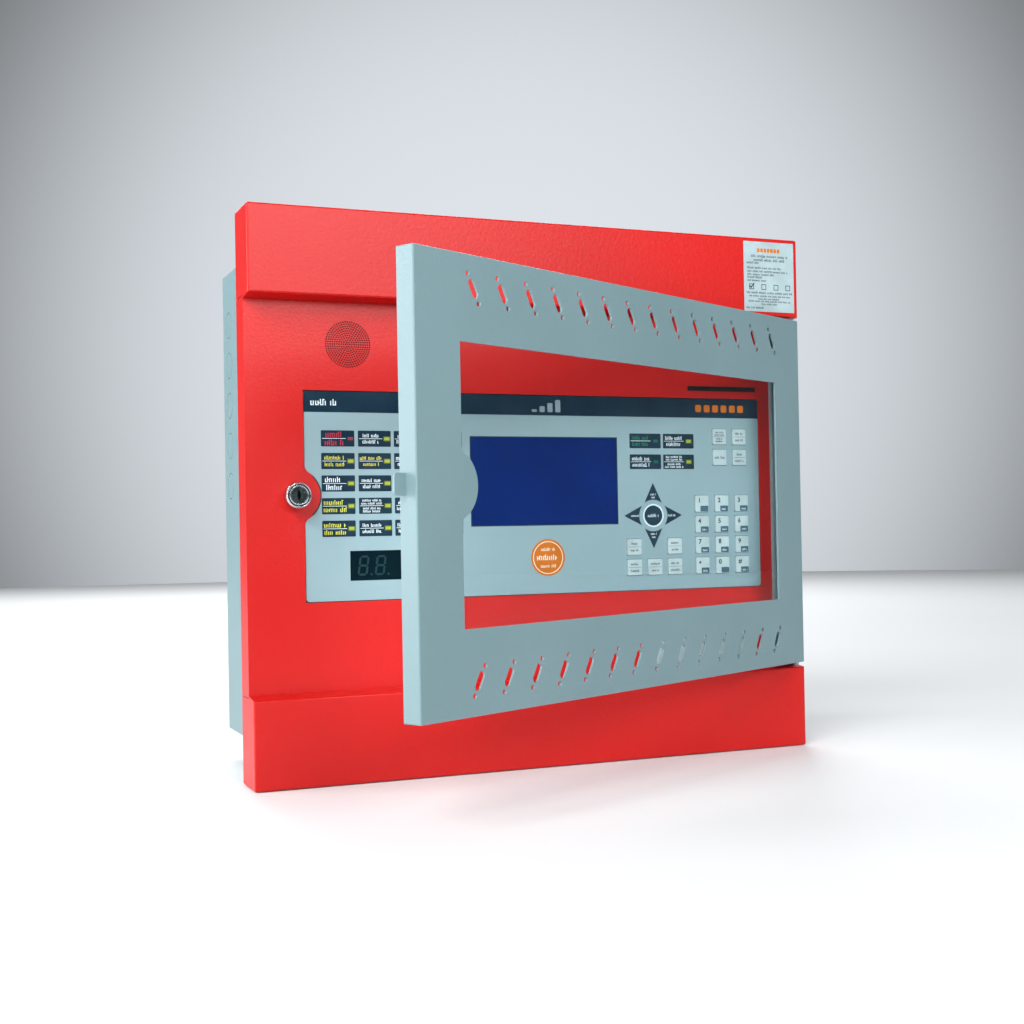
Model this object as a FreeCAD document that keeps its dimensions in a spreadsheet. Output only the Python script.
import FreeCAD, Part
import math
import os
from types import SimpleNamespace

import Sketcher
from FreeCAD import Placement, Rotation, Vector

# Fire alarm control panel, wall mounted.
#
# Frame: the origin is the centre of the back box's rear face, on the wall.  +X is to the
# right of a person who faces the panel, +Y goes into the wall and +Z is up.  Depths are
# given as "out", the distance in front of the wall, so that Y = -out.

# ---------------------------------------------------------------- driving dimensions (mm)
DIMENSIONS = {
    # cabinet
    "panel_width": 440, "panel_height": 400, "panel_depth": 184,
    "sheet_gauge": 1.5, "box_inset": 20, "box_depth": 158, "lip_width": 6,
    "fixing_spacing_x": 330, "fixing_spacing_z": 270, "fixing_radius": 3.5,
    "knockout_radius": 10.3, "knockout_cut": 0.5, "knockout_pitch": 31.5,
    "knockout_out": 22, "knockout_top": 138.5,
    # red front door
    "door_rear_out": 147, "recess_out": 169, "band_low_top": -138.4,
    "band_high_bottom": 138.65, "ledge_slant": 1.75,
    "hinge_axis_x": 209, "hinge_axis_out": 150, "hinge_height": 130,
    "knuckle_radius": 4, "knuckle_length": 17.8, "hinge_pin_radius": 2.5,
    "running_gap": 0.05,
    # lock
    "lock_x": -185, "lock_z": 0.6, "lock_tab_radius": 17.5, "lock_head_radius": 9,
    "lock_barrel_radius": 7.5, "lock_plug_radius": 5.5, "lock_front_out": 178.5,
    "cam_reach": 12.5, "cam_width": 10.6,
    # control field
    "overlay_left": -178.4, "overlay_right": 189.4, "overlay_half_height": 73.7,
    "overlay_gap": 0.6, "overlay_thickness": 0.8, "plate_front_out": 167.5,
    "lcd_left": -55.7, "lcd_bottom": -23.1, "lcd_width": 120, "lcd_height": 66.2,
    "digits_left": -146.5, "digits_bottom": -59.8, "digits_width": 66.5,
    "digits_height": 21.1, "digit_pitch": 12.6, "digit_block_height": 19,
    "lens_width": 4.2, "lens_height": 2.5,
    "key_gap": 0.25, "key_thickness": 1.1, "nav_key_thickness": 0.6, "key_back_out": 168,
    # sounder
    "sounder_x": -146, "sounder_z": 107, "sounder_ring_pitch": 1.6,
    "sounder_hole_radius": 0.42, "sounder_disc_radius": 18.5,
    # glazed door, drawn closed about its own hinge axis
    "window_axis_x": 215, "window_axis_out": 180.5, "window_angle": 27.3,
    "window_width": 440, "window_bottom": -134.7, "window_top": 136.4,
    "window_face_out": 4, "window_flange": 13.2, "window_hinge_flange": 8.5,
    "glass_left": -181.9, "glass_right": 182.3, "glass_bottom": -83.3, "glass_top": 84.6,
    "pane_thickness": 3, "tongue_radius": 21, "tongue_x": -189,
    "vent_pitch": 26.72, "vent_first_x": -169.2, "vent_high_z": 116.4, "vent_low_z": -114.1,
    "window_pin_radius": 1.5, "lug_radius": 2.3, "lug_web": 2, "lug_relief": 6,
    "rail_left": 199.6, "rail_right": 219.4, "rail_lip": 4,
    # corners of the control field's film
    "overlay_corner": 2.5, "notch_corner": 6,
    # writing-strip slot and rating label
    "strip_left": 126, "strip_right": 187.5, "strip_bottom": 79.9, "strip_top": 83.8,
    "label_left": 171, "label_right": 216.8, "label_bottom": 142, "label_top": 197,
    "label_thickness": 0.15,
}
VENT_COUNT = 14
VENT_SLOT_REACH, VENT_SLOT_RADIUS = 3.7, 2.65
VENT_DOT_REACH, VENT_DOT_RADIUS = 9.8, 1.8
VENT_SLANT = math.radians(61)

doc = FreeCAD.newDocument("FireAlarmControlPanel")


class Size:
    """A number and the spreadsheet expression that gives it, so one sum makes both."""

    def __init__(self, value, text):
        self.value = float(value)
        self.text = text

    def __add__(self, other):
        other = size_of(other)
        return Size(self.value + other.value, f"({self.text} + {other.text})")

    def __sub__(self, other):
        other = size_of(other)
        return Size(self.value - other.value, f"({self.text} - {other.text})")

    def __mul__(self, other):
        other = size_of(other)
        return Size(self.value * other.value, f"({self.text} * {other.text})")

    def __truediv__(self, other):
        other = size_of(other)
        return Size(self.value / other.value, f"({self.text} / {other.text})")

    def __neg__(self):
        return Size(-self.value, f"(0 - {self.text})")

    def __radd__(self, other):
        return size_of(other) + self

    def __rsub__(self, other):
        return size_of(other) - self

    def __rmul__(self, other):
        return size_of(other) * self


def size_of(item):
    if isinstance(item, Size):
        return item
    text = f"{abs(item):.4f}"
    return Size(item, text if item >= 0 else f"(0 - {text})")


def make_sheet():
    """Put every driving dimension in the spreadsheet and return them by name."""
    sheet = doc.addObject("Spreadsheet::Sheet", "Dims")
    for row, (alias, value) in enumerate(DIMENSIONS.items(), start=1):
        sheet.set(f"A{row}", alias)
        sheet.set(f"B{row}", str(value))
        sheet.setAlias(f"B{row}", alias)
    doc.recompute()
    return SimpleNamespace(**{a: Size(v, f"Dims.{a}") for a, v in DIMENSIONS.items()})


d = make_sheet()
gauge = d.sheet_gauge
half_width = d.panel_width / 2
half_height = d.panel_height / 2
box_half_width = half_width - d.box_inset
box_half_height = half_height - d.box_inset

PARTS = []


def part(item, label):
    """Name a finished sub-part."""
    item.Label = label
    PARTS.append(item)
    return item


def bind(item, prop, size):
    item.setExpression(prop, size_of(size).text)


# ---------------------------------------------------------------- primitives and booleans
def block(x0, x1, out0, out1, z0, z1):
    """A box between two X, two out and two Z values."""
    x0, x1, out0, out1, z0, z1 = map(size_of, (x0, x1, out0, out1, z0, z1))
    item = doc.addObject("Part::Box", "Block")
    bind(item, "Length", x1 - x0)
    bind(item, "Width", out1 - out0)
    bind(item, "Height", z1 - z0)
    bind(item, "Placement.Base.x", x0)
    bind(item, "Placement.Base.y", -out1)
    bind(item, "Placement.Base.z", z0)
    return item


def placed_cylinder(radius, length, turn, x, y, z):
    item = doc.addObject("Part::Cylinder", "Rod")
    item.Placement = Placement(Vector(), turn)
    bind(item, "Radius", radius)
    bind(item, "Height", length)
    bind(item, "Placement.Base.x", x)
    bind(item, "Placement.Base.y", y)
    bind(item, "Placement.Base.z", z)
    return item


def rod(x, z, out0, out1, radius):
    """A cylinder whose axis runs from the wall to the front."""
    turn = Rotation(Vector(1, 0, 0), 90)
    return placed_cylinder(radius, size_of(out1) - out0, turn, x, -size_of(out0), z)


def post(x, out, z0, z1, radius):
    """A cylinder that stands upright."""
    return placed_cylinder(radius, size_of(z1) - z0, Rotation(), x, -size_of(out), z0)


def hexagon(x, z, out0, out1, across_flats):
    """A hexagonal nut blank whose axis runs from the wall to the front."""
    item = doc.addObject("Part::Prism", "Hexagon")
    item.Polygon = 6
    item.Placement = Placement(Vector(), Rotation(Vector(1, 0, 0), 90))
    bind(item, "Circumradius", across_flats / math.sqrt(3))
    bind(item, "Height", size_of(out1) - out0)
    bind(item, "Placement.Base.x", x)
    bind(item, "Placement.Base.y", -size_of(out0))
    bind(item, "Placement.Base.z", z)
    return item


def fuse(*items):
    item = doc.addObject("Part::MultiFuse", "Fuse")
    item.Shapes = list(items)
    return item


def group(*items):
    """Separate solids that share one node."""
    item = doc.addObject("Part::Compound", "Group")
    item.Links = list(items)
    return item


def cut(base, *tools):
    item = doc.addObject("Part::Cut", "Cut")
    item.Base = base
    item.Tool = tools[0] if len(tools) == 1 else group(*tools)
    return item


# ---------------------------------------------------------------- sketched bodies
def new_body(name):
    return doc.addObject("PartDesign::Body", name)


def new_sketch(body, out=0, plane="XZ_Plane"):
    """A sketch on one of the body's own planes; on XZ it faces the front, `out` from the wall."""
    sketch = body.newObject("Sketcher::SketchObject", "Sketch")
    support = [f for f in body.Origin.OriginFeatures if f.Role == plane][0]
    sketch.AttachmentSupport = [(support, "")]
    sketch.MapMode = "FlatFace"
    bind(sketch, "AttachmentOffset.Base.z", out)
    return sketch


def fix_point(sketch, geometry, end, point):
    """Dimension one point of a sketch from its origin."""
    kinds = (("DistanceX", -2), ("DistanceY", -1))
    for (kind, axis), size in zip(kinds, map(size_of, point)):
        if abs(size.value) < 1e-9:
            sketch.addConstraint(Sketcher.Constraint("PointOnObject", geometry, end, axis))
            continue
        index = sketch.addConstraint(
            Sketcher.Constraint(kind, -1, 1, geometry, end, size.value))
        sketch.setExpression(f"Constraints[{index}]", size.text)


def draw_polygon(sketch, points):
    points = [tuple(map(size_of, p)) for p in points]
    corners = [Vector(u.value, v.value, 0) for u, v in points]
    first = sketch.GeometryCount
    for start, end in zip(corners, corners[1:] + corners[:1]):
        sketch.addGeometry(Part.LineSegment(start, end))
    for i, point in enumerate(points):
        after = first + (i + 1) % len(points)
        sketch.addConstraint(Sketcher.Constraint("Coincident", first + i, 2, after, 1))
        fix_point(sketch, first + i, 1, point)


def draw_rectangle(sketch, x0, x1, z0, z1):
    draw_polygon(sketch, [(x0, z0), (x1, z0), (x1, z1), (x0, z1)])


def draw_circle(sketch, x, z, radius):
    x, z, radius = map(size_of, (x, z, radius))
    circle = Part.Circle(Vector(x.value, z.value, 0), Vector(0, 0, 1), radius.value)
    geometry = sketch.addGeometry(circle)
    fix_point(sketch, geometry, 3, (x, z))
    index = sketch.addConstraint(Sketcher.Constraint("Radius", geometry, radius.value))
    sketch.setExpression(f"Constraints[{index}]", radius.text)


def draw_capsule(sketch, start, end, radius):
    """A slot with round ends between two centres."""
    a = Vector(*[size_of(c).value for c in start], 0)
    b = Vector(*[size_of(c).value for c in end], 0)
    along = math.atan2(b.y - a.y, b.x - a.x)
    side = Vector(-math.sin(along), math.cos(along), 0) * radius
    quarter = math.pi / 2
    up = Vector(0, 0, 1)
    lines = (Part.LineSegment(a - side, b - side), Part.LineSegment(b + side, a + side))
    caps = (Part.ArcOfCircle(Part.Circle(b, up, radius), along - quarter, along + quarter),
            Part.ArcOfCircle(Part.Circle(a, up, radius), along + quarter, along + 3 * quarter))
    first = sketch.GeometryCount
    for geometry in (lines[0], caps[0], lines[1], caps[1]):
        sketch.addGeometry(geometry)
    for i in range(4):
        sketch.addConstraint(
            Sketcher.Constraint("Tangent", first + i, 2, first + (i + 1) % 4, 1))
    fix_point(sketch, first + 1, 3, end)
    fix_point(sketch, first + 3, 3, start)
    sketch.addConstraint(Sketcher.Constraint("Radius", first + 1, radius))


def pad(body, sketch, length, midplane=False):
    feature = body.newObject("PartDesign::Pad", "Pad")
    feature.Profile = sketch
    feature.Midplane = midplane
    bind(feature, "Length", length)
    return feature


def pocket(body, sketch, length, forwards=False):
    """Cut from the sketch towards the wall, or towards the front with `forwards`."""
    feature = body.newObject("PartDesign::Pocket", "Pocket")
    feature.Profile = sketch
    feature.Reversed = forwards
    bind(feature, "Length", length)
    doc.recompute()
    volume_before = feature.BaseFeature.Shape.Volume
    if feature.Shape.Volume > volume_before - 1e-6:
        raise RuntimeError(f"{body.Label}: a pocket cuts nothing")
    return feature


def plate(body, x0, x1, z0, z1, out0, thickness):
    sketch = new_sketch(body, out0)
    draw_rectangle(sketch, x0, x1, z0, z1)
    return pad(body, sketch, thickness)


def window(body, x0, x1, z0, z1, front_out, depth):
    sketch = new_sketch(body, front_out)
    draw_rectangle(sketch, x0, x1, z0, z1)
    return pocket(body, sketch, depth)


def round_hole(body, x, z, radius, front_out, depth):
    sketch = new_sketch(body, front_out)
    draw_circle(sketch, x, z, radius)
    return pocket(body, sketch, depth)


def repeat(body, feature, kind, count, **properties):
    """Pattern one feature and make the pattern the body's tip."""
    pattern = body.newObject(f"PartDesign::{kind}", kind)
    pattern.Originals = [feature]
    for name, value in properties.items():
        if isinstance(value, Size):
            bind(pattern, name, value)
        else:
            setattr(pattern, name, value)
    pattern.Occurrences = count
    body.Tip = pattern
    return pattern


def round_edges(body, radius, choose):
    """Fillet the edges of the body's tip that `choose` accepts."""
    doc.recompute()
    tip = body.Tip
    names = [f"Edge{i}" for i, edge in enumerate(tip.Shape.Edges, start=1) if choose(edge)]
    if not names:
        raise RuntimeError(f"{body.Label}: no edge to round")
    feature = body.newObject("PartDesign::Fillet", "Fillet")
    feature.Base = (tip, names)
    bind(feature, "Radius", radius)
    return feature


def runs_along(edge, axis):
    """True for a straight edge parallel to the axis."""
    if len(edge.Vertexes) < 2 or not isinstance(edge.Curve, Part.Line):
        return False
    direction = edge.Vertexes[1].Point - edge.Vertexes[0].Point
    return direction.normalize().isEqual(axis, 1e-4) or direction.isEqual(-axis, 1e-4)


ALONG_X, ALONG_Y, ALONG_Z = Vector(1, 0, 0), Vector(0, 1, 0), Vector(0, 0, 1)


# ---------------------------------------------------------------- cabinet
def make_back_box():
    body = new_body("BackBox")
    plate(body, -box_half_width, box_half_width, -box_half_height, box_half_height,
          0, d.box_depth)
    round_edges(body, gauge, lambda e: runs_along(e, ALONG_Y) or (
        e.BoundBox.YMax > -0.01 and e.BoundBox.YLength < 0.01))
    inner_x = box_half_width - gauge
    inner_z = box_half_height - gauge
    cavity = new_sketch(body, gauge)
    draw_rectangle(cavity, -inner_x, inner_x, -inner_z, inner_z)
    pocket(body, cavity, d.box_depth - gauge * 2, forwards=True)
    mouth_x = box_half_width - d.lip_width
    mouth_z = box_half_height - d.lip_width
    window(body, -mouth_x, mouth_x, -mouth_z, mouth_z, d.box_depth, gauge * 2)
    for x in (-1, 1):
        for z in (-1, 1):
            round_hole(body, d.fixing_spacing_x * (x / 2), d.fixing_spacing_z * (z / 2),
                       d.fixing_radius, gauge, gauge)
    # Five knockouts in the left side, each held by two bridges between two arc cuts.
    sketch = new_sketch(body, -(box_half_width - gauge / 2), "YZ_Plane")
    bridge = math.radians(9)
    radii = (d.knockout_radius, d.knockout_radius - d.knockout_cut)
    centre = Vector(-d.knockout_out.value, d.knockout_top.value, 0)
    for half in (0, 1):
        start = half * math.pi + bridge
        end = (half + 1) * math.pi - bridge
        rims = [Part.ArcOfCircle(Part.Circle(centre, ALONG_Z, r.value), start, end)
                for r in radii]
        ends = [Part.LineSegment(rims[0].value(a), rims[1].value(a)) for a in (start, end)]
        first = sketch.GeometryCount
        for geometry in (rims[0], ends[1], rims[1], ends[0]):
            sketch.addGeometry(geometry)
        for line, arc, line_end, arc_end in ((1, 0, 1, 2), (1, 2, 2, 2), (3, 0, 1, 1),
                                             (3, 2, 2, 1)):
            sketch.addConstraint(Sketcher.Constraint(
                "Coincident", first + line, line_end, first + arc, arc_end))
        for geometry, radius in ((0, radii[0]), (2, radii[1])):
            fix_point(sketch, first + geometry, 3, (-d.knockout_out, d.knockout_top))
            index = sketch.addConstraint(
                Sketcher.Constraint("Radius", first + geometry, radius.value))
            sketch.setExpression(f"Constraints[{index}]", radius.text)
    cuts = body.newObject("PartDesign::Pocket", "KnockoutCuts")
    cuts.Profile = sketch
    cuts.Midplane = True
    bind(cuts, "Length", gauge * 2)
    doc.recompute()
    repeat(body, cuts, "LinearPattern", 5, Direction=(sketch, ["V_Axis"]), Reversed=True,
           Length=d.knockout_pitch * 4)
    part(body, "back_box")


def make_cabinet_hinges():
    """Two lift-off hinges: the lower knuckle and pin stay on the box."""
    axis_x, axis_out = d.hinge_axis_x, d.hinge_axis_out
    gap = 0.2
    lower, upper, pins = [], [], []
    for side in (-1, 1):
        middle = d.hinge_height * side
        low, high = middle - d.knuckle_length, middle + d.knuckle_length
        arm_x = axis_x - d.knuckle_radius / 2
        leaf = fuse(block(box_half_width, box_half_width + 2, axis_out - 30, axis_out + 6,
                          low, middle - gap),
                    block(box_half_width + 1, arm_x, axis_out - 1.5, axis_out + 1.5,
                          low, middle - gap),
                    post(axis_x, axis_out, low, middle - gap, d.knuckle_radius))
        lower.append(cut(leaf, post(axis_x, axis_out, low - 1, high, d.hinge_pin_radius)))
        flange_x = half_width - gauge
        leaf = fuse(block(flange_x - 2, flange_x, axis_out - 2, axis_out + 16,
                          middle + gap, high),
                    block(axis_x + d.knuckle_radius / 2, flange_x - 1, axis_out - 1.5,
                          axis_out + 1.5, middle + gap, high),
                    post(axis_x, axis_out, middle + gap, high, d.knuckle_radius))
        upper.append(cut(leaf, post(axis_x, axis_out, low, high + 1,
                                    d.hinge_pin_radius + d.running_gap)))
        pins.append(post(axis_x, axis_out, low, high - 2, d.hinge_pin_radius))
    part(group(*lower), "cabinet_hinges")
    part(group(*pins), "hinge_pins")
    part(group(*upper), "door_hinges")


def make_batteries():
    """Two sealed 12 V batteries, 151 x 65 x 94 mm, side by side on the box's floor."""
    width, depth, height = 151, 65, 94
    floor = -box_half_height + gauge
    rear = 4
    batteries = []
    for left in (-165, -7):
        body = block(left, left + width, rear, rear + depth, floor, floor + height)
        lid = block(left + 2, left + width - 2, rear + 2, rear + depth - 2,
                    floor + height, floor + height + 2)
        tabs = [block(x, x + 6.3, rear + 12, rear + 13, floor + height + 1,
                      floor + height + 8) for x in (left + 12, left + width - 18)]
        batteries.append(fuse(body, lid, *tabs))
    part(group(*batteries), "batteries")
    # A folded strap across both batteries, fixed to the rear wall at its two ends.
    front = rear + depth
    low, high = floor + 52, floor + 72
    left, right = -168, 147
    strap = fuse(block(left, right, front, front + 1.5, low, high),
                 block(left, left + 1.5, gauge, front + 1, low, high),
                 block(right - 1.5, right, gauge, front + 1, low, high),
                 block(left - 12, left + 1, gauge, gauge + 1.5, low, high),
                 block(right - 1, right + 12, gauge, gauge + 1.5, low, high))
    part(strap, "battery_strap")


def make_power_supply():
    """A caged switching supply with a slotted cover, on the rear wall at the upper right."""
    left, right, low, high = 24, 183, 62, 160
    case = block(left, right, gauge, gauge + 38, low, high)
    slots = [block(x, x + 3, gauge + 36.5, gauge + 40, low + 14 + row * 38,
                   low + 44 + row * 38)
             for x in range(left + 14, right - 12, 9) for row in (0, 1)]
    shelf = block(left + 6, right - 6, gauge + 12, gauge + 40, low - 1, low + 9)
    part(cut(case, shelf, *slots), "power_supply")


BOARD = SimpleNamespace(left=-186, right=6, low=-48, high=160, out=12, thickness=1.6)


def make_circuit_boards():
    """The main board with two plug-in loop cards that stand on it."""
    b = BOARD
    face = gauge + b.out + b.thickness
    boards = [block(b.left, b.right, gauge + b.out, face, b.low, b.high)]
    for x in (-130, -78):
        card = block(x, x + 1.6, face + 6, face + 44, b.low + 62, b.high - 22)
        socket = block(x - 3, x + 5, face, face + 8, b.low + 70, b.high - 30)
        boards.append(fuse(card, socket))
    chips = [(-168, 92, 22, 22, 3), (-168, 40, 14, 20, 3), (-30, 118, 28, 24, 14),
             (-30, 70, 20, 16, 12), (-48, 36, 16, 30, 15), (-24, 36, 16, 30, 15)]
    boards += [block(x, x + w, face, face + t, z, z + h) for x, z, w, h, t in chips]
    part(group(*boards), "circuit_boards")
    inset = 6
    spots = [(x, z) for x in (b.left + inset, (b.left + b.right) / 2, b.right - inset)
             for z in (b.low + inset, b.high - inset)]
    standoffs = [fuse(rod(x, z, gauge, gauge + b.out, 3),
                      rod(x, z, face, face + 2, 2.8)) for x, z in spots]
    part(group(*standoffs), "board_standoffs")
    # Plug-in field terminals along the board's lower edge, and the mains inlet block.
    blocks = []
    pitch = 5.08
    ways = 3
    body_width = pitch * ways
    for index in range(9):
        x = b.left + 16 + index * (body_width + 3.4)
        body = block(x, x + body_width, face, face + 15, b.low + 14, b.low + 26)
        wells = [rod(x + pitch * (way + 0.5), b.low + 20, face + 12, face + 16, 1.7)
                 for way in range(ways)]
        blocks.append(cut(body, *wells))
    mains = block(60, 96, gauge, gauge + 22, 20, 44)
    wells = [rod(66 + 12 * way, 32, gauge + 17, gauge + 23, 3) for way in range(3)]
    blocks.append(cut(mains, *wells))
    part(group(*blocks), "terminal_blocks")


# ---------------------------------------------------------------- red front door
def make_front_door():
    body = new_body("FrontDoor")
    side = new_sketch(body, 0, "YZ_Plane")
    low_step = d.band_low_top + d.ledge_slant
    high_step = d.band_high_bottom - d.ledge_slant
    draw_polygon(side, [(-d.door_rear_out, -half_height), (-d.panel_depth, -half_height),
                        (-d.panel_depth, d.band_low_top), (-d.recess_out, low_step),
                        (-d.recess_out, high_step), (-d.panel_depth, d.band_high_bottom),
                        (-d.panel_depth, half_height), (-d.door_rear_out, half_height)])
    pad(body, side, d.panel_width, midplane=True)
    front = -d.panel_depth.value
    near_side = half_width.value - 1
    near_end = half_height.value - 1

    def is_front_bend(edge):
        box = edge.BoundBox
        on_band = abs(box.YMin - front) < 0.01 and abs(box.YMax - front) < 0.01
        corner_fold = (runs_along(edge, ALONG_Y) and abs(box.ZMax) > near_end
                       and abs(box.XMax) > near_side)
        return on_band or corner_fold

    round_edges(body, gauge, is_front_bend)
    inner = new_sketch(body, 0, "YZ_Plane")
    recess_back = -(d.recess_out - gauge)
    band_back = -(d.panel_depth - gauge)
    top = half_height - gauge
    rear = -(d.door_rear_out - 1)
    draw_polygon(inner, [(rear, -top), (band_back, -top),
                         (band_back, d.band_low_top - gauge), (recess_back, low_step - gauge),
                         (recess_back, high_step + gauge),
                         (band_back, d.band_high_bottom + gauge), (band_back, top),
                         (rear, top)])
    hollow = body.newObject("PartDesign::Pocket", "Hollow")
    hollow.Profile = inner
    hollow.Midplane = True
    bind(hollow, "Length", d.panel_width - gauge * 2)
    # The cut-out for the control field, with the round tab that carries the lock.
    gap = d.overlay_gap
    window(body, d.overlay_left - gap, d.overlay_right + gap, -d.overlay_half_height - gap,
           d.overlay_half_height + gap, d.recess_out, gauge * 1.2)
    tab = new_sketch(body, d.recess_out - gauge)
    draw_circle(tab, d.lock_x, d.lock_z, d.lock_tab_radius)
    pad(body, tab, gauge)
    round_hole(body, d.lock_x, d.lock_z, d.lock_barrel_radius + 0.1, d.recess_out,
               gauge * 1.2)
    round_hole(body, d.sounder_x, d.sounder_z, d.sounder_disc_radius, d.recess_out,
               gauge * 1.2)
    # A slot for the writing strip above the control field.
    window(body, d.strip_left, d.strip_right, d.strip_bottom, d.strip_top, d.recess_out,
           gauge * 1.2)
    # Relief slits in the side flanges, where the bands step forward.
    slit = 0.6
    slit_depth = 30
    for x in (-half_width - 1, half_width - gauge - 0.5):
        for z in (d.band_low_top, d.band_high_bottom - slit):
            window(body, x, x + gauge + 1.5, z, z + slit, d.recess_out - 0.5, slit_depth)
    part(body, "front_door_skin")


def make_sounder():
    body = new_body("SounderGrille")
    x, z = d.sounder_x, d.sounder_z
    disc = new_sketch(body, d.recess_out - gauge)
    # The perforation is drawn about the disc's own centre, which the body then carries.
    draw_circle(disc, 0, 0, d.sounder_disc_radius)
    pad(body, disc, gauge)
    round_hole(body, 0, 0, d.sounder_hole_radius, d.recess_out, gauge * 1.2)
    for ring in range(1, 11):
        hole = round_hole(body, d.sounder_ring_pitch * ring, 0, d.sounder_hole_radius,
                          d.recess_out, gauge * 1.2)
        repeat(body, hole, "PolarPattern", 6 * ring, Axis=(hole.Profile[0], ["N_Axis"]),
               Angle=360.0)
    bind(body, "Placement.Base.x", x)
    bind(body, "Placement.Base.z", z)
    part(body, "sounder_grille")
    back = d.recess_out - gauge
    part(fuse(rod(x, z, back - 2, back, d.sounder_disc_radius + 3),
              rod(x, z, back - 11, back - 1, d.sounder_disc_radius - 1)), "sounder")


KEY_WIDTH, KEY_HEIGHT = 11.8, 12.8
DIGIT_COLUMNS, DIGIT_TOPS = (131, 148.8, 166.7), (-1.7, -17.8, -33.9, -49.9)
DIGIT_NAMES = ("1", "2", "3", "4", "5", "6", "7", "8", "9", "star", "0", "hash")
CONTROL_SPOTS = ((147.7, 50.3), (165.5, 50.3), (147.7, 34.1), (165.5, 34.1))
FUNCTION_SPOTS = ((71.2, -34.5), (106.3, -34.5), (71.2, -50.2), (88.8, -50.2),
                  (106.3, -50.2))
FUNCTION_HEIGHT = 12.2
NAV_X, NAV_Z, NAV_REACH, NAV_DISC, NAV_HOLLOW = 94.4, -16.8, 24.7, 7.5, 12.4
ARROWS = {"right": 0, "up": 90, "left": 180, "down": 270}


def rectangular_keys():
    """Name, left, top, width and height of each rectangular key."""
    keys = []
    for index, name in enumerate(DIGIT_NAMES):
        left, top = DIGIT_COLUMNS[index % 3], DIGIT_TOPS[index // 3]
        keys.append((f"key_digit_{name}", left, top, KEY_WIDTH, KEY_HEIGHT))
    for index, (left, top) in enumerate(CONTROL_SPOTS, start=1):
        keys.append((f"key_control_{index}", left, top, 12, FUNCTION_HEIGHT))
    for index, (left, top) in enumerate(FUNCTION_SPOTS, start=1):
        keys.append((f"key_function_{index}", left, top, 12.2, FUNCTION_HEIGHT))
    return keys


def arrow(grow, out0, thickness, turn):
    """A triangular key with a hollowed base, pointing away from the centre key."""
    body = new_body("Arrow")
    sketch = new_sketch(body, out0)
    near, far, spread = 10.2 - grow, NAV_REACH + 2 * grow, 7.1 + 1.6 * grow
    draw_polygon(sketch, [(near, -spread), (far, 0), (near, spread)])
    pad(body, sketch, thickness)
    round_hole(body, 0, 0, NAV_HOLLOW - grow, size_of(out0) + thickness + 1,
               size_of(thickness) + 2)
    doc.recompute()
    rotation = Rotation(Vector(0, 1, 0), -turn)
    body.Placement = Placement(Vector(NAV_X, 0, NAV_Z), rotation)
    return body


def make_keys():
    back, thickness, nav_thickness = d.key_back_out, d.key_thickness, d.nav_key_thickness
    for name, left, top, width, height in rectangular_keys():
        body = new_body("Key")
        plate(body, left, left + width, top - height, top, back, thickness)
        round_edges(body, 1.0, lambda e: runs_along(e, ALONG_Y))
        face = -(back + thickness).value
        round_edges(body, 0.3, lambda e: e.BoundBox.YMax < face + 0.01)
        part(body, name)
    for name, turn in ARROWS.items():
        part(arrow(0, back, nav_thickness, turn), f"key_nav_{name}")
    body = new_body("Key")
    sketch = new_sketch(body, back)
    draw_circle(sketch, NAV_X, NAV_Z, NAV_DISC)
    pad(body, sketch, nav_thickness)
    face = -(back + nav_thickness).value
    round_edges(body, 0.2, lambda e: e.BoundBox.YMax < face + 0.01)
    part(body, "key_nav_enter")


LEFT_BADGES = SimpleNamespace(columns=(-166.4, -139.5, -112.9, -86.1),
                              tops=(46.3, 30.4, 14.6, -1.3, -17.2), width=24.3, height=11.4)
RIGHT_BADGES = SimpleNamespace(columns=(74.9, 103.9), tops=(46.2, 30.2), width=27,
                               height=11.3)


def lens_spots():
    """The middle of each status light's window."""
    spots = []
    for badges, reach in ((LEFT_BADGES, 21.4), (RIGHT_BADGES, 22.5)):
        spots += [(x + reach, top - badges.height / 2)
                  for x in badges.columns for top in badges.tops]
    return spots


def lens(x, z, out0, out1):
    return block(x - d.lens_width / 2, x + d.lens_width / 2, out0, out1,
                 z - d.lens_height / 2, z + d.lens_height / 2)


def key_spots():
    """The middle of each key."""
    spots = [(left + width / 2, top - height / 2)
             for _, left, top, width, height in rectangular_keys()]
    spots.append((NAV_X, NAV_Z))
    for turn in ARROWS.values():
        angle = math.radians(turn)
        spots.append((NAV_X + 15.5 * math.cos(angle), NAV_Z + 15.5 * math.sin(angle)))
    return spots


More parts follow.
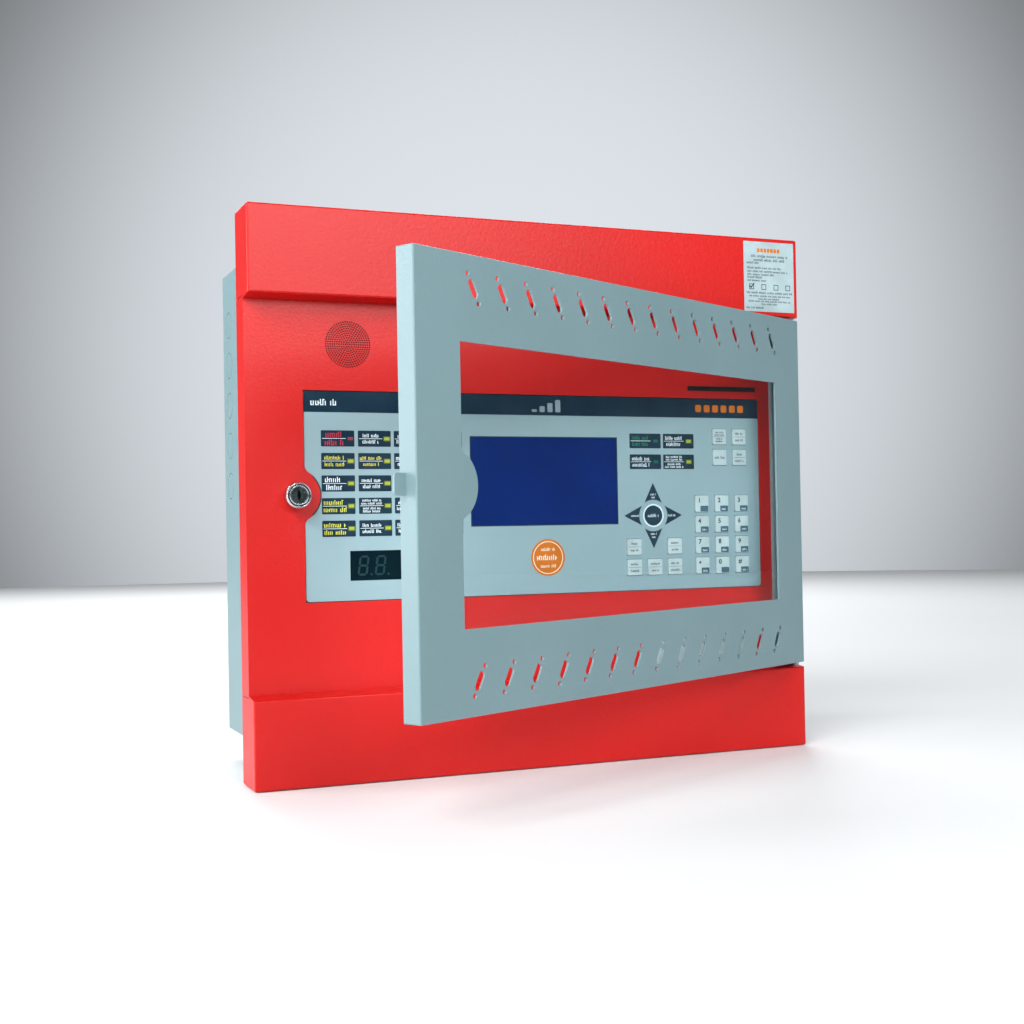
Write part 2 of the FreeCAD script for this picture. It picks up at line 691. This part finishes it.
def make_overlay():
    back = d.plate_front_out
    front = back + d.overlay_thickness
    body = new_body("OverlayBlank")
    plate(body, d.overlay_left, d.overlay_right, -d.overlay_half_height,
          d.overlay_half_height, back, d.overlay_thickness)
    round_hole(body, d.lock_x, d.lock_z, d.lock_tab_radius + d.overlay_gap * 2, front,
               d.overlay_thickness)
    # The notch round the lock has softer corners than the rest of the film.
    notch_reach = d.lock_tab_radius.value * 2

    def by_lock(edge):
        return runs_along(edge, ALONG_Y) and abs(edge.CenterOfMass.z) < notch_reach

    round_edges(body, d.notch_corner, by_lock)
    round_edges(body, d.overlay_corner,
                lambda e: runs_along(e, ALONG_Y) and not by_lock(e))
    low, high = back - 1, front + 1
    gap = d.key_gap
    tools = [block(left - gap, left + width + gap, low, high, top - height - gap, top + gap)
             for _, left, top, width, height in rectangular_keys()]
    tools += [arrow(gap.value, low, size_of(high) - low, turn) for turn in ARROWS.values()]
    tools.append(rod(NAV_X, NAV_Z, low, high, NAV_DISC + gap))
    tools += [lens(x, z, low, high) for x, z in lens_spots()]
    tools.append(block(d.lcd_left, d.lcd_left + d.lcd_width, low, high, d.lcd_bottom,
                       d.lcd_bottom + d.lcd_height))
    tools.append(block(d.digits_left, d.digits_left + d.digits_width, low, high,
                       d.digits_bottom, d.digits_bottom + d.digits_height))
    part(cut(body, *tools), "overlay")
    part(block(d.lcd_left, d.lcd_left + d.lcd_width, back, front, d.lcd_bottom,
               d.lcd_bottom + d.lcd_height), "lcd_window")
    part(block(d.digits_left, d.digits_left + d.digits_width, back, front, d.digits_bottom,
               d.digits_bottom + d.digits_height), "digit_window")
    part(group(*[lens(x, z, back, front + 0.1) for x, z in lens_spots()]),
         "indicator_lenses")


STUD_SPOTS = [(x, z) for x in (-150, 10, 150) for z in (-78.5, 80)]
SPACER_SPOTS = [(-158, 66), (-158, -66), (75, 66), (75, -66), (160, -68), (168, 66)]


def make_control_plate():
    """The steel plate behind the door that carries the overlay, the displays and a board."""
    front = d.plate_front_out
    back = front - gauge
    low, high = back - 1, front + 1
    blank = block(-186, 196, back, front, -84, 88)
    tools = [rod(d.lock_x, d.lock_z, low, high, 15)]
    tools += [rod(x, z, low, high, 2.4) for x, z in key_spots()]
    tools.append(block(d.lcd_left, d.lcd_left + d.lcd_width, low, high, d.lcd_bottom,
                       d.lcd_bottom + d.lcd_height))
    digits = digit_blocks()
    tools += [block(x0, x1, low, high, z0, z1) for x0, x1, z0, z1 in digits]
    tools.append(rod(d.sounder_x, d.sounder_z, low, high, d.sounder_disc_radius + 3.5))
    board_face = d.plate_front_out - 9
    spacers = [rod(x, z, board_face, back, 2.5) for x, z in SPACER_SPOTS]
    part(cut(fuse(blank, *spacers), *tools), "control_plate")


def digit_blocks():
    """The outlines of the two-digit display blocks."""
    first = d.digits_left + 3.4
    z0 = d.digits_bottom + 1
    z1 = z0 + d.digit_block_height
    width = d.digit_pitch * 2
    return [(x, x + width, z0, z1) for x in (first, first + width + 8.2)]


def make_displays():
    front = d.plate_front_out
    board_face = front - 9
    glass = block(d.lcd_left, d.lcd_left + d.lcd_width, front - 3, front, d.lcd_bottom,
                  d.lcd_bottom + d.lcd_height)
    bezel_side, bezel_end = 9, 16
    bezel = block(d.lcd_left - bezel_side, d.lcd_left + d.lcd_width + bezel_side,
                  board_face + 1, front - gauge, d.lcd_bottom - bezel_end,
                  d.lcd_bottom + d.lcd_height + bezel_end)
    part(fuse(glass, bezel), "lcd_module")
    part(group(*[block(x0, x1, board_face, front, z0, z1)
                 for x0, x1, z0, z1 in digit_blocks()]), "digit_modules")
    part(block(-166, 174, board_face - 1.6, board_face, -71, 71), "display_board")
    switches = [fuse(block(x - 3, x + 3, board_face, board_face + 4, z - 3, z + 3),
                     rod(x, z, board_face + 3, front, 1.7)) for x, z in key_spots()]
    part(group(*switches), "key_switches")


def make_lock():
    x, z = d.lock_x, d.lock_z
    face = d.recess_out
    barrel_back = d.door_rear_out + 7.2
    head = rod(x, z, face, d.lock_front_out, d.lock_head_radius)
    rim = doc.addObject("Part::Chamfer", "Rim")
    rim.Base = head
    doc.recompute()
    rim.Edges = [(i, 1.0, 1.0) for i, e in enumerate(head.Shape.Edges, start=1)
                 if e.BoundBox.YMax < -d.lock_front_out.value + 0.01]
    barrel = rod(x, z, barrel_back, face + 1, d.lock_barrel_radius)
    bore = rod(x, z, barrel_back - 1, d.lock_front_out + 1,
               d.lock_plug_radius + d.running_gap)
    part(cut(fuse(rim, barrel), bore), "lock_barrel")
    nuts = [cut(hexagon(x, z, face - gauge - 3.5, face - gauge, 20),
                rod(x, z, face - gauge - 4, face, d.lock_barrel_radius))]
    plate_back = d.plate_front_out - gauge
    nuts += [hexagon(sx, sz, plate_back - 3.2, plate_back, 7) for sx, sz in STUD_SPOTS]
    board_back = d.plate_front_out - 10.6
    nuts += [hexagon(sx, sz, board_back - 2.4, board_back, 5.5) for sx, sz in SPACER_SPOTS]
    part(group(*nuts), "door_nuts")
    # The plug turns in the barrel and carries the cam on its rear end.
    cam_front = d.door_rear_out + 7
    cam_back = cam_front - 2
    plug = rod(x, z, cam_back - 1, d.lock_front_out - 0.4, d.lock_plug_radius)
    keyway = block(x - 0.7, x + 0.7, d.lock_front_out - 9, d.lock_front_out + 1,
                   z - 3.2, z + 3.2)
    key_eye = rod(x, z, d.lock_front_out - 9, d.lock_front_out + 1, 1.4)
    part(cut(plug, keyway, key_eye), "lock_plug")
    half_cam = d.cam_width / 2
    cam = fuse(rod(x, z, cam_back, cam_front, d.lock_plug_radius + 2),
               block(x - half_cam, x + half_cam, cam_back, cam_front, z,
                     z + d.cam_reach))
    part(cut(cam, rod(x, z, cam_back - 1, cam_front + 1, d.lock_plug_radius)), "lock_cam")


def make_hinge_rail():
    """The grey rail on the red door, with a lug and a pin at each end of the glazed door."""
    face = d.recess_out
    left, right = d.rail_left, d.rail_right
    low, high = d.window_bottom + 1.7, d.window_top - 2.4
    axis_x, axis_out = d.window_axis_x, d.window_axis_out
    pieces = [block(left, right, face, face + gauge, low, high),
              block(left, left + gauge, face, face + d.rail_lip, low, high)]
    ends = ((low, low + gauge), (high - gauge, high))
    half_web = d.lug_web / 2
    for z0, z1 in ends:
        pieces.append(block(axis_x - half_web, axis_x + half_web, face, axis_out, z0, z1))
        pieces.append(post(axis_x, axis_out, z0, z1, d.lug_radius))
    holes = [post(axis_x, axis_out, z0 - 1, z1 + 1, d.window_pin_radius) for z0, z1 in ends]
    part(cut(fuse(*pieces), *holes), "hinge_rail")
    pins = [post(axis_x, axis_out, low - 3.4, low + gauge, d.window_pin_radius),
            post(axis_x, axis_out, high - gauge, high + 2.7, d.window_pin_radius)]
    part(group(*pins), "rail_pins")


def make_label():
    front = d.panel_depth
    part(block(d.label_left, d.label_right, front, front + d.label_thickness,
               d.label_bottom, d.label_top), "rating_label")


# ---------------------------------------------------------------- glazed door
def hang(item, label):
    """Place a piece of the glazed door, drawn closed about its hinge axis, at rest."""
    base = Vector(d.window_axis_x.value, -d.window_axis_out.value, 0)
    item.Placement = Placement(base, Rotation(Vector(0, 0, 1), d.window_angle.value))
    bind(item, "Placement.Base.x", d.window_axis_x)
    bind(item, "Placement.Base.y", -d.window_axis_out)
    part(item, label)


def from_axis(x):
    return size_of(x) - d.window_axis_x


def make_glazed_door():
    face = d.window_face_out
    left = from_axis(-d.window_width / 2)
    right = from_axis(d.window_width / 2)
    low, high = d.window_bottom, d.window_top
    rear = face - d.window_flange
    body = new_body("GlazedDoor")
    plate(body, left, right, low, high, rear, d.window_flange)
    front = -face.value
    round_edges(body, 1.0, lambda e: runs_along(e, ALONG_Y) or (
        e.BoundBox.YMax < front + 0.01))
    inner = new_sketch(body, rear)
    draw_rectangle(inner, left + gauge, right - gauge, low + gauge, high - gauge)
    pocket(body, inner, d.window_flange - gauge, forwards=True)
    # The hinge-side flange is shallow and stops short of the two lugs.
    shallow = new_sketch(body, rear)
    draw_rectangle(shallow, right - gauge * 2, right + 1, low - 1, high + 1)
    pocket(body, shallow, d.window_flange - d.window_hinge_flange, forwards=True)
    relief = d.lug_relief
    for z0, z1 in ((low - 1, low + relief), (high - relief, high + 1)):
        notch = new_sketch(body, rear)
        draw_rectangle(notch, right - gauge, right + 1, z0, z1)
        pocket(body, notch, d.window_flange - gauge, forwards=True)
    window(body, from_axis(d.glass_left), from_axis(d.glass_right), d.glass_bottom,
           d.glass_top, face + 1, gauge + 2)
    tongue = new_sketch(body, face - gauge)
    draw_circle(tongue, from_axis(d.tongue_x), d.lock_z, d.tongue_radius)
    pad(body, tongue, gauge)
    # Slanted vents: a slot between two dots, fourteen above the pane and fourteen below.
    for middle_z, lean in ((d.vent_high_z, -1), (d.vent_low_z, 1)):
        x = from_axis(d.vent_first_x)
        run, rise = math.cos(VENT_SLANT), math.sin(VENT_SLANT) * lean
        vent = new_sketch(body, face + 1)
        reach = VENT_SLOT_REACH
        draw_capsule(vent, (x - reach * run, middle_z - reach * rise),
                     (x + reach * run, middle_z + reach * rise), VENT_SLOT_RADIUS)
        for end in (-VENT_DOT_REACH, VENT_DOT_REACH):
            draw_circle(vent, x + end * run, middle_z + end * rise, VENT_DOT_RADIUS)
        slot = pocket(body, vent, gauge + 2)
        repeat(body, slot, "LinearPattern", VENT_COUNT, Direction=(vent, ["H_Axis"]),
               Length=d.vent_pitch * (VENT_COUNT - 1))
    doc.recompute()
    pin_room = d.window_pin_radius + d.running_gap
    holes = [post(0, 0, low - 1, low + gauge + 1, pin_room),
             post(0, 0, high - gauge - 1, high + 1, pin_room)]
    hang(cut(body, *holes), "glazed_door_frame")

    # The clear pane lies on the back of the face, held by clips on weld studs.
    pane_front = face - gauge
    pane_back = pane_front - d.pane_thickness
    pane_left, pane_right = from_axis(d.glass_left) - 8, from_axis(d.glass_right) + 8
    pane_low, pane_high = d.glass_bottom - 8, d.glass_top + 8
    pane = new_body("Pane")
    plate(pane, pane_left, pane_right, pane_low, pane_high, pane_back, d.pane_thickness)
    hang(pane, "glazed_door_pane")
    clips = []
    for x in (-150, -50, 50, 150):
        for edge, way in ((pane_high, 1), (pane_low, -1)):
            middle = from_axis(x)
            stud_z = edge + 5 * way
            ends = sorted((edge - 4 * way, edge + 9 * way), key=lambda s: s.value)
            clips.append(fuse(block(middle - 6, middle + 6, pane_back - 1.2, pane_back,
                                    ends[0], ends[1]),
                              rod(middle, stud_z, pane_back - 3.6, pane_front, 2.6)))
    hang(group(*clips), "pane_clips")
    tab = block(left - 9, left, rear + 3.4, rear + 4.6, -5.6, 7.4)
    grip = doc.addObject("Part::Fillet", "GripCorners")
    grip.Base = tab
    doc.recompute()
    outer = left.value - 9
    grip.Edges = [(i, 2.5, 2.5) for i, e in enumerate(tab.Shape.Edges, start=1)
                  if runs_along(e, ALONG_Y) and abs(e.BoundBox.XMin - outer) < 0.01]
    hang(grip, "pull_tab")
    catch_case = block(left + gauge, left + gauge + 7, rear + 1, rear + 8, 12, 30)
    pole = block(left + gauge + 1, left + gauge + 5, rear - 0.7, rear + 2, 14, 21.6)
    hang(fuse(catch_case, pole), "magnet_catch")


# ---------------------------------------------------------------- build, check and write
make_back_box()
make_cabinet_hinges()
make_batteries()
make_power_supply()
make_circuit_boards()
make_front_door()
make_sounder()
make_keys()
make_overlay()
make_control_plate()
make_displays()
make_lock()
make_hinge_rail()
make_label()
make_glazed_door()
doc.recompute()

for item in doc.Objects:
    if "Invalid" in item.State or "Error" in item.State:
        raise RuntimeError(f"{item.Label} failed: {item.State}")
os.makedirs("parts", exist_ok=True)
for item in PARTS:
    if item.Shape.isNull() or not item.Shape.isValid() or not item.Shape.Solids:
        raise RuntimeError(f"{item.Label} has no valid solid")
for item in PARTS:
    item.Shape.exportStep(f"parts/{item.Label}.step")
print(len(PARTS), "parts written")
